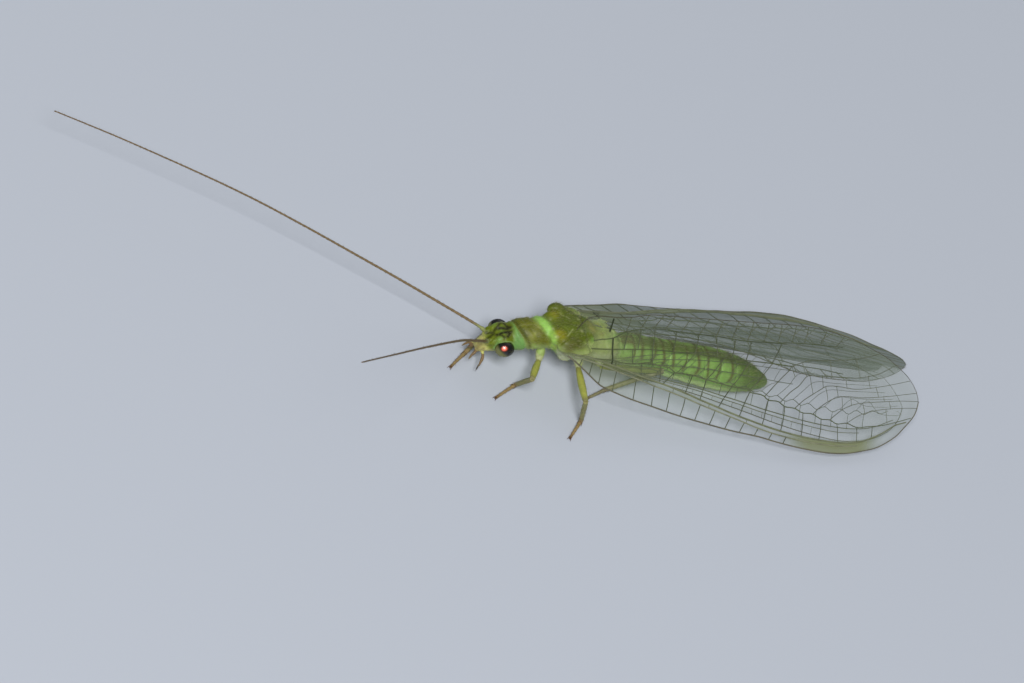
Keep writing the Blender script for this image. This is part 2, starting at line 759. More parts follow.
# Soft spots of colour: centre, radius, colour and strength, with a mirror image on the other side
SPOTS = [
    ((2.90, 0.08, -0.12), 0.09, "band", 0.7),
    ((3.09, 0.35, -0.34), 0.10, "neck", 0.8),
    ((2.80, 0.04, -0.10), 0.14, "head dark", 0.8),
    ((3.04, 0.28, -0.92), 0.07, "mark", 0.7),
    ((3.54, 0.10, -0.96), 0.15, "palp", 0.6),
    ((3.61, 0.21, -0.98), 0.08, "red mark", 0.7),
    ((3.44, 0.30, -0.90), 0.06, "red mark", 0.7),
    ((1.86, 0.34, 0.24), 0.11, "shield light", 0.7),
    ((1.72, 0.10, 0.35), 0.13, "shield light", 0.7),
    ((1.94, 0.42, 0.15), 0.12, "shield light", 0.6),
    ((1.00, 0.46, 0.52), 0.22, "lobe", 1.0),
    ((0.88, 0.50, 0.50), 0.17, "lobe", 0.8),
    ((1.18, 0.21, 0.46), 0.05, "pale", 0.8),
    ((0.66, 0.98, 0.46), 0.30, "shoulder", 0.8),
    ((0.30, 0.74, 0.46), 0.24, "shoulder", 0.5),
    ((0.06, 0.27, 0.55), 0.06, "pale", 0.6),
    ((-0.44, 0.10, 0.53), 0.17, "blob", 0.9),
    ((-0.38, 0.52, 0.45), 0.10, "patch", 0.5),
    ((-1.11, 0.40, 0.44), 0.13, "patch", 0.5),
    ((-1.52, 0.16, 0.34), 0.16, "patch", 0.7),
    ((-0.80, 0.24, 0.42), 0.12, "blob", 0.5),
]
# Streaks of colour: both ends, width, colour and strength
STREAKS = [
    ((0.73, 0.56, 0.43), (0.43, 0.24, 0.58), 0.022, "pale", 0.5),
    ((0.95, 0.08, 0.46), (0.40, 0.04, 0.58), 0.030, "ridge", 0.6),
    ((0.62, 0.62, 0.40), (0.30, 0.80, 0.30), 0.045, "ridge", 0.7),
    ((-1.70, 0.10, 0.12), (-2.30, 0.12, 0.04), 0.070, "bar", 0.7),
]
# Height counts for less than length and width where a spot's reach is measured
FLATTENED = Vector((1, 1, 0.3))
# The spots of the right side are fainter
RIGHT_SPOTS = 0.6


def line_distance(place, start, end):
    """The distance from a line, in which height counts for less."""
    place, start, end = place * FLATTENED, start * FLATTENED, end * FLATTENED
    way = end - start
    part = max(0.0, min(1.0, (place - start).dot(way) / way.length_squared))
    return (place - start - way * part).length


def marked(colour, x, y, z):
    """The colour with the soft spots and streaks that lie near the place."""
    place = Vector((x, abs(y), z))
    share = 1.0 if y > 0 else RIGHT_SPOTS
    for centre, radius, name, strength in SPOTS:
        away = ((place - Vector(centre)) * FLATTENED).length
        if away < 2.5 * radius:
            colour = mixed(colour, GREENS[name], share * strength * bump(away, 0, radius))
    for start, end, width, name, strength in STREAKS:
        away = line_distance(place, Vector(start), Vector(end))
        if away < 2.5 * width:
            colour = mixed(colour, GREENS[name], strength * bump(away, 0, width))
    return colour


def head_colour(x, y, z):
    """Green, paler on the face and round the eyes, with dark marks on the crown."""
    colour = mixed(GREENS["head"], GREENS["face"], ramp(x - 0.6 * z, 3.62, 3.95))
    colour = mixed(colour, GREENS["face"], 0.8 * ramp(-z, 0.62, 0.85))
    rim = bump(eye_nearness(x, y, z), 1.10, 0.06)
    colour = marked(mixed(colour, GREENS["rim"], 0.75 * rim), x, y, z)
    if z > CROWN_EDGE + 0.05:
        place = Vector((x, abs(y), 0))
        for start, end, width, strength in CROWN_MARKS:
            away = line_distance(place, Vector((*start, 0)), Vector((*end, 0)))
            colour = mixed(colour, GREENS["mark"], strength * bump(away, 0, width))
    return colour


def collared(colour, ring, z):
    """The colour with the bright collar between shield and back."""
    return mixed(colour, GREENS["band"], 1.4 * bump(ring, band_centre(z), 0.15))


def shield_colour(x, y, z):
    """Olive above and pale below, with a dark rim before the green neck."""
    ring = ring_place(x, y, z)
    top = ramp(z, -0.28, 0.12)
    colour = mixed(GREENS["shield low"], GREENS["shield"], top)
    colour = mixed(colour, GREENS["shield light"], 0.35 * bump(y, 0, 0.05) * top)
    behind = bump(ring, 2.14, 0.055) * ramp(z, -0.45, -0.2)
    colour = mixed(colour, GREENS["neck dark"], 0.85 * behind)
    colour = mixed(colour, GREENS["neck"], ramp(ring, 2.20, 2.30))
    return collared(colour, ring, z)


def back_colour(x, y, z):
    """Olive above and pale on the flanks, with a dark line across the middle."""
    top = ramp(z, -0.22, 0.14)
    base = mixed(GREENS["back"], GREENS["hind"], ramp(-0.55 - x, 0, 0.2))
    colour = mixed(GREENS["pleura"], GREENS["side"], ramp(z, -0.24, 0.08))
    colour = mixed(colour, base, ramp(z + 0.1 * x, 0.20, 0.46))
    colour = mixed(colour, GREENS["ridge"], 0.6 * bump(x + 0.22 * abs(y), -0.02, 0.05) * top)
    return mixed(colour, GREENS["belly"], 0.8 * ramp(-1.55 - x, 0, 0.2))


def belly_colour(x, y, z):
    """Green with brown bars, a dark stripe along the top and a dark end."""
    high = z - belly_axis(x)
    colour = mixed(GREENS["belly low"], GREENS["belly"], ramp(high, -0.42, -0.02))
    for i, place in enumerate(BAR_PLACES):
        lean = x - place + 0.10 * (high - 0.3) + 0.05 * math.sin(high * 7 + i * 1.9)
        width = 0.060 + 0.018 * math.sin(i * 2.3)
        reach = ramp(high, 0.02 + 0.05 * math.sin(i * 1.7), 0.22)
        colour = mixed(colour, GREENS["bar"], 0.85 * reach * bump(lean, 0, width))
    stripe = ramp(0.34 - abs(y), 0, 0.22) * ramp(high, 0.15, 0.35)
    colour = mixed(colour, GREENS["ridge"], 0.80 * stripe)
    colour = mixed(colour, GREENS["ridge"], 0.45 * bump(x, -3.25, 0.16) * ramp(high, 0.15, 0.40))
    dark_end = ramp(-6.6 - x, 0, 0.9) * (0.55 + 0.4 * ramp(high, -0.2, 0.3))
    return mixed(colour, GREENS["tip"], dark_end)


def skin_colour(point):
    """The skin's colour at a place, from the palps back to the tail."""
    x, y, z = point
    if (x > 3.22 and z < -1.12) or (x > 3.66 and z < -1.04):
        colour = mixed(GREENS["palp"], GREENS["palp tip"], ramp(-z, 1.38, 1.56))
    elif x > 2.62:
        colour = head_colour(x, y, z)
    elif x > 2.42:
        colour = mixed(shield_colour(x, y, z), head_colour(x, y, z), ramp(x, 2.42, 2.62))
    elif z < -0.60 and -1.7 < x < 2.2:
        colour = mixed(GREENS["pleura"], GREENS["hip"], 0.6)
    elif ring_place(x, y, z) > band_centre(z) - 0.16:
        colour = marked(shield_colour(x, y, z), x, y, z)
    elif x > -1.86:
        colour = collared(back_colour(x, y, z), ring_place(x, y, z), z)
        colour = marked(colour, x, y, z)
    else:
        colour = marked(belly_colour(x, y, z), x, y, z)
    return [*colour, 1.0]


# Legs

def leg_lines(joints):
    """The thigh, shin and jointed foot of one leg as lines for tubes()."""
    _, hip, knee, ankle, toe = [above_hinge(joint) for joint in joints]
    bend = (knee - hip).cross(ankle - knee).normalized()
    bow = (knee - hip).cross(bend).normalized() * LEG_BOW
    thigh = tapered([hip, hip.lerp(knee, 0.5) - bow, knee], THIGH_RADII, 0.07)
    shin = tapered([knee, knee.lerp(ankle, 0.5) + bow * 0.7, ankle], SHIN_RADII, 0.07)
    path = smooth_path([ankle, ankle.lerp(toe, 0.5) + Vector((0, 0, 0.015)), toe], 0.02)
    foot = []
    for i, point in enumerate(path):
        part = i / (len(path) - 1) * FOOT_JOINTS
        swell = 0.80 + 0.24 * (part % 1) ** 1.5
        foot.append((point, FOOT_RADIUS * swell * (1.12 - 0.05 * part)))
    return thigh, shin, foot


# Claws, the pad between them and the spurs of the ankle
CLAW_REACH = 0.13
CLAW_SPREAD = 0.07
CLAW_ARCH = 0.035
CLAW_RADII = [0.018, 0.0144, 0.003]
PAD_REACH = 0.07
PAD_RADII = [0.03, 0.035, 0.012]
SPUR_LENGTH = 0.16
SPUR_RADII = [0.020, 0.014, 0.003]


def claw_lines(joints):
    """Two hooked claws and the pad between them at the end of a foot, and the two spurs at its ankle."""
    knee, ankle, toe = [above_hinge(joint) for joint in joints[2:]]
    ahead = (toe - ankle).normalized()
    across = ahead.cross(UP).normalized()
    down = (ankle - knee).normalized()
    claws, spurs = [], []
    for sign in (-1, 1):
        root = toe + across * sign * 0.02 + UP * 0.01
        tip = toe + ahead * CLAW_REACH + across * sign * CLAW_SPREAD
        tip.z = -HINGE_HEIGHT + 0.006
        top = root.lerp(tip, 0.55) + UP * CLAW_ARCH
        claws.append(tapered([root, top, tip], CLAW_RADII, 0.015))
        root = ankle + across * sign * 0.05
        tip = root + (down * 0.5 + ahead * 0.8 + across * sign * 0.3).normalized() * SPUR_LENGTH
        tip.z = max(tip.z, -HINGE_HEIGHT + 0.01)
        spurs.append(tapered([root, tip], SPUR_RADII, 0.03))
    pad = toe + ahead * PAD_REACH
    pad.z = -HINGE_HEIGHT + 0.025
    return [*claws, *spurs, tapered([toe, pad], PAD_RADII, 0.015)]


KNEE_COLOUR = linear(150, 148, 82)
CLAW_COLOUR = linear(92, 64, 36)
# Colours of thigh, shin and foot
LEG_COLOURS = [linear(164, 166, 78), linear(132, 128, 82), linear(142, 120, 80)]
HIND_COLOURS = [linear(108, 118, 58), linear(122, 122, 88), linear(128, 122, 94)]


def limb_paint(start, end, first, *fades):
    """The colours along a limb: the first one, and others that fade in with a strength between two places."""
    def colour_at(point):
        part = (point - start).length / (end - start).length
        colour = first
        for other, strength, low, high in fades:
            colour = mixed(colour, other, strength * ramp(part, low, high))
        return [*colour, 1.0]
    return colour_at


def build_legs():
    """The thigh, shin and foot of every leg, each painted along its length."""
    parts = []
    for name, joints in LEG_JOINTS.items():
        hip, knee, ankle, toe = [above_hinge(joint) for joint in joints[1:]]
        green, brown, pale = HIND_COLOURS if name.startswith("hind") else LEG_COLOURS
        paints = [
            limb_paint(hip, knee, KNEE_COLOUR, (green, 1.0, 0.0, 0.25), (brown, 1.0, 0.85, 1.0)),
            limb_paint(knee, ankle, brown, (pale, 1.0, 0.7, 1.0)),
            limb_paint(ankle, toe, pale, (CLAW_COLOUR, 0.5, 0.75, 1.0)),
        ]
        for line, paint in zip(leg_lines(joints), paints):
            part = tubes("leg", [line], 4)
            painted(part, paint)
            parts.append(part)
    return parts


# Feelers, in heights from the hinge line

FEELERS = {
    "left": [(3.40, 0.21, -0.46), (3.56, 0.36, -0.34), (4.40, 1.02, 0.38), (6.40, 2.62, 2.12),
             (9.36, 4.90, 4.22), (12.3, 7.22, 6.30), (15.3, 9.54, 8.34)],
    "right": [(3.40, -0.21, -0.46), (3.62, -0.36, -0.40), (4.60, -0.98, -0.34), (7.24, -2.56, -0.18),
              (11.69, -4.95, 0.13), (15.84, -6.95, 0.17), (18.85, -8.31, 0.11)],
}
FEELER_RINGS = 88
FEELER_SPACING = 0.055
# How far along a feeler its swollen root ends and the ringed thread begins
THREAD_START = 0.45
FEELER_BASE = linear(132, 138, 84)
FEELER_BROWN = linear(118, 100, 66)
FEELER_DARK = linear(98, 76, 52)


def feeler_radius(reach, length):
    """Thickness of a feeler at a distance from its root: a swollen root piece, then a long thread."""
    root = 0.085 * bump(reach, 0.12, 0.13) + 0.055 * bump(reach, 0.36, 0.07)
    thread = 0.052 - 0.030 * (reach / length) ** 0.8
    return max(thread, root)


def feeler_line(name):
    """A feeler as a line for tubes(), ringed all along its thread."""
    path = smooth_path(FEELERS[name], FEELER_SPACING)
    length = sum((b - a).length for a, b in zip(path, path[1:]))
    line, reach = [], 0.0
    for i, point in enumerate(path):
        if i:
            reach += (point - path[i - 1]).length
        ring = 1 + 0.10 * math.cos(2 * math.pi * reach / length * FEELER_RINGS)
        line.append((point, feeler_radius(reach, length) * (ring if reach > THREAD_START else 1)))
    return line


def build_feeler(name):
    """A feeler, paler at its root and darker towards its tip and on its rings."""
    line = feeler_line(name)
    item = tubes("feeler", [line], 3)
    root = line[0][0]
    length = sum((b[0] - a[0]).length for a, b in zip(line, line[1:]))

    def colour(point):
        part = (point - root).length / length
        ring = 0.5 + 0.5 * math.cos(2 * math.pi * part * FEELER_RINGS)
        brown = mixed(FEELER_BROWN, FEELER_DARK, 0.35 * ring + 0.4 * part)
        return [*mixed(FEELER_BASE, brown, ramp(part, 0.012, 0.035)), 1]

    painted(item, colour)
    return item


# Wings: places on a wing are its distance from the hinge and how far out of the hinge line

FORE_FRONT = [
    (0.0, 0.12), (0.34, 0.30), (0.67, 0.51), (1.39, 0.97), (1.89, 1.14), (2.65, 1.34), (3.5, 1.51),
    (4.77, 1.68), (5.62, 1.79), (6.89, 1.95), (8.16, 2.07), (9.0, 2.19), (9.85, 2.29), (11.0, 2.34),
    (11.9, 2.25), (12.61, 2.07), (13.25, 1.85), (13.97, 1.40), (14.32, 1.06), (14.83, 0.48), (15.01, -0.02),
]
# The left forewing's rear edge, which reaches over the ridge, and the right one's, folded in below it
FORE_REAR = [
    (0.0, -0.10), (0.3, -0.75), (0.8, -1.30), (1.3, -1.50), (1.95, -1.55), (2.8, -1.66), (3.55, -1.83),
    (4.1, -1.87), (6.0, -1.98), (8.0, -2.10), (9.5, -2.20), (10.4, -2.21), (11.2, -2.17), (12.2, -2.00),
    (13.0, -1.76), (13.5, -1.58), (13.98, -1.33), (14.59, -0.88), (14.90, -0.45), (15.01, -0.10),
]
RIGHT_REAR = [
    (0.0, -0.10), (0.3, -0.50), (0.8, -0.85), (1.3, -1.00), (2.0, -1.05), (3.5, -1.10), (5.0, -1.16),
    (6.5, -1.24), (7.4, -1.36), (8.2, -1.50), (9.0, -1.68), (9.8, -1.86), (11.0, -1.93), (12.2, -1.86),
    (13.2, -1.62), (13.98, -1.30), (14.59, -0.86), (14.90, -0.45), (15.01, -0.10),
]
HIND_FRONT = [
    (1.6, 0.16), (2.5, 0.36), (3.5, 0.48), (4.6, 0.62), (5.8, 0.79), (7.49, 1.11), (9.18, 1.46),
    (10.88, 1.69), (12.1, 1.72), (13.08, 1.53), (13.89, 1.13), (14.32, 0.67), (14.50, 0.22),
]
HIND_REAR = [
    (1.6, 0.0), (2.5, -0.18), (3.5, -0.40), (4.6, -0.60), (6.0, -0.82), (7.5, -0.95), (9.0, -1.02),
    (10.5, -1.08), (12.0, -1.12), (13.28, -1.02), (13.90, -0.68), (14.30, -0.22), (14.50, 0.12),
]
EDGES = {
    ("forewing", 1): (FORE_FRONT, FORE_REAR),
    ("forewing", -1): (FORE_FRONT, RIGHT_REAR),
    ("hindwing", 1): (HIND_FRONT, HIND_REAR),
    ("hindwing", -1): (HIND_FRONT, HIND_REAR),
}
# How far each wing lies above the roof's plane
LIFTS = {("forewing", 1): 0.04, ("forewing", -1): -0.04, ("hindwing", 1): -0.27, ("hindwing", -1): -0.29}
# The right forewing bends down past the ridge, to pass under the left one
BEND_START = -0.85
BEND_END = -1.25
BEND_ANGLE = math.radians(53)
BEND_STEP = 0.02
# The field behind a forewing's front edge slopes down, and the middle of the right forewing bows up
COSTAL_TILT = 0.34
RIGHT_BOW = 0.18
RIGHT_HIND_SHARE = 0.985
FOLD_HEIGHT = 0.030
RIPPLE_HEIGHT = 0.010


def bent(out):
    """How far out and how high a place on the right forewing is, with its rear bent down past the ridge."""
    if out >= BEND_START:
        return out, 0.0
    across, high, at = BEND_START, 0.0, BEND_START
    while at > out:
        move = min(BEND_STEP, at - out)
        angle = BEND_ANGLE * min(1.0, (BEND_START - at) / (BEND_START - BEND_END))
        across -= move * math.cos(angle)
        high -= move * math.sin(angle)
        at -= move
    return across, high


def wing_frame(side):
    """Where a wing lies: rolled down on its own side, then pitched down to the tail."""
    turn = Matrix.Rotation(ROOF_PITCH, 4, "Y") @ Matrix.Rotation(-side * ROOF_SLOPE, 4, "X")
    return Matrix.Translation((WING_HINGE.x, side * WING_HINGE.y, WING_HINGE.z)) @ turn


def wing_point(kind, side, far, out):
    """A place on a wing's surface in the insect's frame, with the soft folds along its main veins."""
    across, high = out, 0.0
    if kind == "forewing":
        if side < 0:
            across, high = bent(out)
            high += RIGHT_BOW * ramp(far, 2.8, 5.2) * ramp(15.0 - far, 0, 4.0)
        front_field = max(0.0, out - value_on(FORE_VEINS["Sc"], far))
        lowered = ramp(far, 2.8, 5.6) + 0.45 * bump(far, 1.9, 1.4)
        high -= COSTAL_TILT * front_field * lowered * ramp(11.0 - far, 0, 4.0)
    elif side < 0:
        far *= RIGHT_HIND_SHARE
    fold = FOLD_HEIGHT * math.sin(out * 5.2 + 0.4) * math.sin(math.pi * min(1.0, far / WING_LENGTH))
    ripple = RIPPLE_HEIGHT * math.sin(far * 3.1 + out * 4.0) * math.sin(out * 6.0 - far * 1.3)
    lift = LIFTS[kind, side] + high + fold + ripple
    return wing_frame(side) @ Vector((-far, side * across, lift))


# The main veins of a forewing, from the front: subcosta, radius, its sector, media and cubitus
FORE_VEINS = {
    "Sc": [
        (0.3, 0.10), (1.40, 0.27), (2.24, 0.46), (3.09, 0.63), (3.72, 0.77), (4.36, 0.90), (5.20, 1.10),
        (5.62, 1.22), (6.47, 1.42), (7.31, 1.61), (8.16, 1.80), (9.01, 1.93), (9.85, 2.01), (10.70, 2.04),
        (11.6, 2.02), (12.3, 1.93),
    ],
    "R": [
        (0.2, 0.03), (0.76, 0.05), (1.40, 0.14), (2.24, 0.30), (3.09, 0.48), (4.15, 0.67), (5.20, 0.91),
        (5.63, 1.04), (6.47, 1.26), (7.32, 1.47), (8.16, 1.63), (9.01, 1.77), (9.85, 1.86), (10.70, 1.90),
        (11.55, 1.90), (12.31, 1.80), (12.91, 1.58), (13.46, 1.30), (13.98, 0.97), (14.45, 0.80),
    ],
    "Rs": [
        (1.10, 0.08), (1.86, 0.05), (2.25, 0.08), (2.75, 0.08), (3.43, -0.06), (3.73, -0.02), (4.28, 0.02),
        (4.58, 0.19), (5.21, 0.17), (5.89, 0.27), (6.95, 0.39), (7.67, 0.40), (7.75, 0.50), (8.30, 0.54),
        (8.55, 0.69), (8.98, 0.69), (9.27, 0.84), (9.70, 0.85), (9.99, 0.98), (10.42, 0.97), (10.80, 1.12),
        (11.18, 1.10), (11.47, 1.22), (11.90, 1.14), (12.32, 1.25), (12.83, 1.15), (13.38, 1.05),
        (13.98, 0.86), (14.66, 0.62),
    ],
    "M": [
        (0.05, -0.10), (0.32, -0.22), (0.90, -0.27), (1.38, -0.31), (1.92, -0.37), (2.7, -0.46), (3.5, -0.56),
        (4.6, -0.60), (5.6, -0.64), (6.7, -0.64), (7.8, -0.66), (8.8, -0.68), (9.59, -0.67),
    ],
    "Cu": [
        (0.03, -0.33), (0.33, -0.51), (0.96, -0.55), (1.39, -0.66), (1.94, -0.78), (2.50, -1.08),
        (3.10, -1.24), (3.65, -1.33), (4.15, -1.37), (5.2, -1.36), (6.35, -1.40), (7.6, -1.38), (8.8, -1.46),
        (9.9, -1.58), (10.9, -1.62), (11.8, -1.66),
    ],
}
# The branches of the sector, which run back to the rear edge
FORE_BRANCHES = [
    [(4.58, 0.20), (4.95, -0.12), (5.45, -0.63)],
    [(5.89, 0.27), (6.25, -0.10), (6.70, -0.64)],
    [(6.95, 0.39), (7.32, 0.00), (7.80, -0.66)],
    [(7.70, 0.46), (8.15, 0.02), (8.75, -0.68)],
    [(8.39, 0.58), (8.82, 0.11), (9.46, -0.50), (9.59, -0.67), (10.3, -0.96), (11.4, -1.12), (12.5, -1.32),
     (13.35, -1.60)],
    [(9.06, 0.72), (9.45, 0.32), (9.88, -0.01), (10.22, -0.38), (10.52, -0.45), (11.58, -0.52),
     (12.43, -0.60), (13.3, -0.85), (14.05, -1.26)],
    [(9.70, 0.85), (10.08, 0.50), (10.51, 0.21), (10.81, 0.02), (11.07, -0.13), (11.57, -0.18),
     (12.4, -0.18), (13.5, -0.42), (14.66, -0.76)],
    [(10.46, 0.97), (10.80, 0.66), (11.14, 0.42), (11.40, 0.28), (11.87, 0.16), (12.67, 0.11),
     (13.74, -0.08), (14.93, -0.34)],
    [(11.18, 1.10), (11.65, 0.71), (11.99, 0.51), (12.42, 0.35), (13.27, 0.19), (14.2, 0.04), (15.0, -0.04)],
    [(11.90, 1.14), (12.54, 0.74), (13.39, 0.46), (14.28, 0.30), (14.93, 0.22)],
]
# Crossveins between those branches, and between sector and radius
FORE_STEPS = [
    [(9.71, -0.33), (9.59, -0.67)], [(10.22, -0.38), (10.02, -0.84)], [(10.37, -0.42), (10.45, 0.25)],
    [(10.90, -0.48), (10.92, -0.05)], [(11.02, -0.10), (11.10, 0.43)], [(11.49, -0.19), (11.53, 0.23)],
    [(11.70, 0.19), (11.73, 0.66)], [(12.08, 0.14), (12.12, 0.46)], [(12.6, 0.31), (12.7, 0.70)],
    [(11.9, -0.55), (11.95, -0.19)], [(11.2, -1.08), (11.3, -0.51)], [(12.35, -1.28), (12.5, -0.62)],
    [(12.85, -0.72), (12.95, -0.27)], [(13.2, -0.34), (13.3, 0.02)], [(13.5, -0.05), (13.55, 0.14)],
    [(13.75, 0.12), (13.8, 0.38)], [(13.6, 0.42), (13.65, 0.97)],
]
FORE_RADIAL = [
    [(2.05, 0.08), (2.02, 0.24)], [(3.14, 0.02), (3.09, 0.46)], [(3.95, 0.0), (3.9, 0.62)],
    [(4.53, 0.16), (4.06, 0.64)], [(5.30, 0.18), (5.0, 0.86)], [(5.89, 0.27), (5.63, 1.02)],
    [(6.99, 0.39), (6.39, 1.22)], [(7.75, 0.50), (7.27, 1.44)], [(8.55, 0.69), (8.25, 1.64)],
    [(9.27, 0.84), (9.05, 1.76)], [(10.03, 0.98), (9.94, 1.86)], [(10.80, 1.12), (10.70, 1.89)],
    [(11.47, 1.22), (11.51, 1.89)], [(12.32, 1.25), (12.31, 1.78)], [(13.0, 1.12), (12.95, 1.55)],
]
# Where crossveins leave the subcosta for the front edge, the sector for the media, and the radius
# for the subcosta
FORE_COSTAL = [0.62, 1.06, 1.48, 2.07, 2.92, 3.68, 4.36, 4.99, 5.62, 6.24, 6.89, 7.5, 8.1, 8.7, 9.3]
SECTOR_STEPS = [1.9, 2.75, 3.6]
RADIUS_STEPS = [0.55, 1.15, 2.6, 3.4, 4.5, 6.0, 7.6]
# Crossveins from the media to the cubitus, and from the cubitus to the rear edge, with both their places
MIDDLE_STEPS = [
    (2.40, 2.56), (3.00, 3.14), (3.62, 3.74), (4.50, 4.66), (5.42, 5.62), (6.38, 6.35), (7.00, 7.18),
    (7.61, 7.86), (8.72, 9.19),
]
REAR_STEPS = [
    (2.49, 2.75), (3.08, 3.51), (3.64, 4.11), (4.14, 4.61), (4.85, 5.30), (5.63, 6.06), (6.35, 6.65),
    (7.05, 7.32), (7.70, 7.95), (8.40, 8.62), (9.02, 9.16), (9.60, 9.78), (10.13, 10.30), (10.8, 11.1),
    (11.5, 11.85),
]
# From here on, the veins to the rear edge fork
FORK_START = 6
# The strong crossvein near the root, in its two pieces
ROOT_STEPS = [
    [(1.84, 0.22), (1.90, 0.03), (1.92, -0.37), (1.94, -0.78)],
    [(1.80, -1.00), (1.88, -1.22), (1.99, -1.50)],
]
# The radius and the colour of each kind of vein
VEINS = {
    "front": (0.028, linear(98, 94, 76)),
    "rear": (0.014, linear(74, 70, 54)),
    "Sc": (0.026, linear(126, 128, 104)),
    "R": (0.034, linear(112, 116, 88)),
    "Rs": (0.021, linear(84, 92, 62)),
    "M": (0.020, linear(78, 86, 56)),
    "Cu": (0.018, linear(72, 80, 54)),
    "branch": (0.015, linear(84, 88, 66)),
    "cross": (0.017, linear(76, 82, 60)),
    "fine": (0.012, linear(92, 96, 76)),
    "strong": (0.030, linear(44, 52, 30)),
}
# A hindwing's main veins have this many steps, and its branches bend towards the tip from this place on
HIND_STEPS = 14
HIND_BEND = 8.6
# What the veins of the right forewing and the hindwings fade towards, and how thick a hindwing's are
VEIN_FADED = linear(92, 98, 80)
HIND_SHARE = 0.62


def rung(kind, start, far, end, reach):
    """A crossvein from one line, at its place far, to another one, at its place reach."""
    return kind, [(far, value_on(start, far)), (reach, value_on(end, reach))]


def fore_lines(side):
    """All the veins of a forewing as (kind, places on the wing)."""
    front, rear = EDGES["forewing", side]
    subcosta, radius, sector, middle, behind = FORE_VEINS.values()
    lines = [("front", front), ("rear", rear + [front[-1]]), *FORE_VEINS.items()]
    many = {"branch": FORE_BRANCHES, "cross": FORE_RADIAL, "fine": FORE_STEPS, "strong": ROOT_STEPS}
    for kind, group in many.items():
        lines += [(kind, places) for places in group]
    lines += [rung("cross", subcosta, far, front, far - 0.12) for far in FORE_COSTAL]
    for far in SECTOR_STEPS:
        lines.append(("cross", [(far, value_on(sector, far)), (far + 0.03, value_on(middle, far))]))
    lines += [rung("cross", middle, far, behind, end) for far, end in MIDDLE_STEPS]
    for far, end in REAR_STEPS:
        start, edge = value_on(behind, far), value_on(rear, end)
        half = ((far + end) / 2 + 0.02, (start + edge) / 2)
        lines.append(("branch", [(far, start), half, (end, edge)]))
        if far > FORK_START:
            lines.append(("fine", [half, (end + 0.3, value_on(rear, end + 0.3))]))
    lines += [rung("fine", radius, far, subcosta, far - 0.04) for far in RADIUS_STEPS]
    inside = []
    for kind, places in lines:
        inside.append((kind, [(far, max(out, value_on(rear, far))) for far, out in places]))
    return inside


def hind_line(share, start, end):
    """A line along a hindwing, a share of the way from its rear edge to its front edge."""
    places = []
    for i in range(HIND_STEPS + 1):
        far = start + (end - start) * i / HIND_STEPS
        front, rear = value_on(HIND_FRONT, far), value_on(HIND_REAR, far)
        places.append((far, rear + (front - rear) * share))
    return places


def hind_sector(radius):
    """The zigzag vein from which a hindwing's branches leave."""
    places = [(2.2, value_on(radius, 2.2))]
    far, count = 3.0, 0
    while far < 14.0:
        share = 0.55 + 0.06 * ramp(far, 4, 12) + (0.035 if count % 2 else -0.02)
        front, rear = value_on(HIND_FRONT, far), value_on(HIND_REAR, far)
        places.append((far, rear + (front - rear) * share))
        far += 0.34
        count += 1
    return places


def hind_branch(far, out, middle):
    """A branch from a place on the sector to the media, or beyond it towards the wing's tip."""
    if far < HIND_BEND:
        end = far + 0.85
        return [(far, out), (far + 0.4, out - 0.30), (end, value_on(middle, end))]
    share = (far - HIND_BEND) / 4.0
    level = -0.75 + 1.25 * share
    tip = 12.4 + 1.9 * min(1.0, 0.25 + share)
    rear = value_on(HIND_REAR, min(tip, 14.45))
    bend = [(far + 0.5, out - 0.42), (far + 1.0, level + 0.05), (far + 1.9, level)]
    return [(far, out), *bend, (tip, max(rear, level - 0.12))]


def hind_lines():
    """The veins of a hindwing: the same plan on its narrower shape."""
    subcosta, radius = hind_line(0.90, 1.8, 12.6), hind_line(0.84, 1.7, 14.1)
    middle, behind = hind_line(0.36, 1.7, 9.8), hind_line(0.17, 1.7, 10.9)
    sector = hind_sector(radius)
    lines = [("front", HIND_FRONT), ("rear", HIND_REAR + [HIND_FRONT[-1]]),
             ("Sc", subcosta), ("R", radius), ("M", middle), ("Cu", behind), ("Rs", sector)]
    for far, out in sector[4::2]:
        if far < 13.2:
            lines.append(("cross", [(far, out), (far - 0.10, value_on(radius, far - 0.10))]))
    for far, out in sector[3::2]:
        if far < 12.6:
            lines.append(("branch", hind_branch(far, out, middle)))
    far = 2.4
    while far < 9.4:
        lines.append(rung("fine", middle, far, behind, far + 0.3))
        lines.append(rung("fine", behind, far + 0.1, HIND_REAR, far + 0.5))
        far += 0.6
    far = 2.6
    while far < 11.0:
        lines.append(rung("fine", subcosta, far, HIND_FRONT, far - 0.06))
        far += 0.42
    return lines


def wing_lines(kind, side):
    return fore_lines(side) if kind == "forewing" else hind_lines()


def build_veins(kind, side):
    """The net of a wing's veins as round tubes, thinner towards the tip."""
    groups = {}
    for name, places in wing_lines(kind, side):
        groups.setdefault(name, []).append(places)
    parts = []
    scale = 1.0 if kind == "forewing" else HIND_SHARE
    for name, many in groups.items():
        thick, colour = VEINS[name]
        lines = []
        for places in many:
            line = []
            for spot in smooth_path([(far, out, 0) for far, out in places], 0.14):
                radius = thick * scale * (1 - 0.35 * ramp(spot.x, 8, 15))
                line.append((wing_point(kind, side, spot.x, spot.y), radius))
            lines.append(line)
        item = tubes(name, lines, 1)
        if side < 0 or kind == "hindwing":
            colour = mixed(colour, VEIN_FADED, 0.5)
        store_paint(item.data, [[*colour, 1.0]] * len(item.data.vertices))
        parts.append(item)
    return joined(parts, f"{kind}_veins")


MEMBRANE_ROWS = 36
MEMBRANE_STIGMA = linear(114, 120, 74)
MEMBRANE_ROOT = linear(118, 128, 78)
# The share of the light that a clear membrane holds back, and how much more the right one does, in its tint
CLEAR_SHARE = 0.078
RIGHT_SHARE = 0.16
RIGHT_TINT = (0.10, 0.13, 0.10)


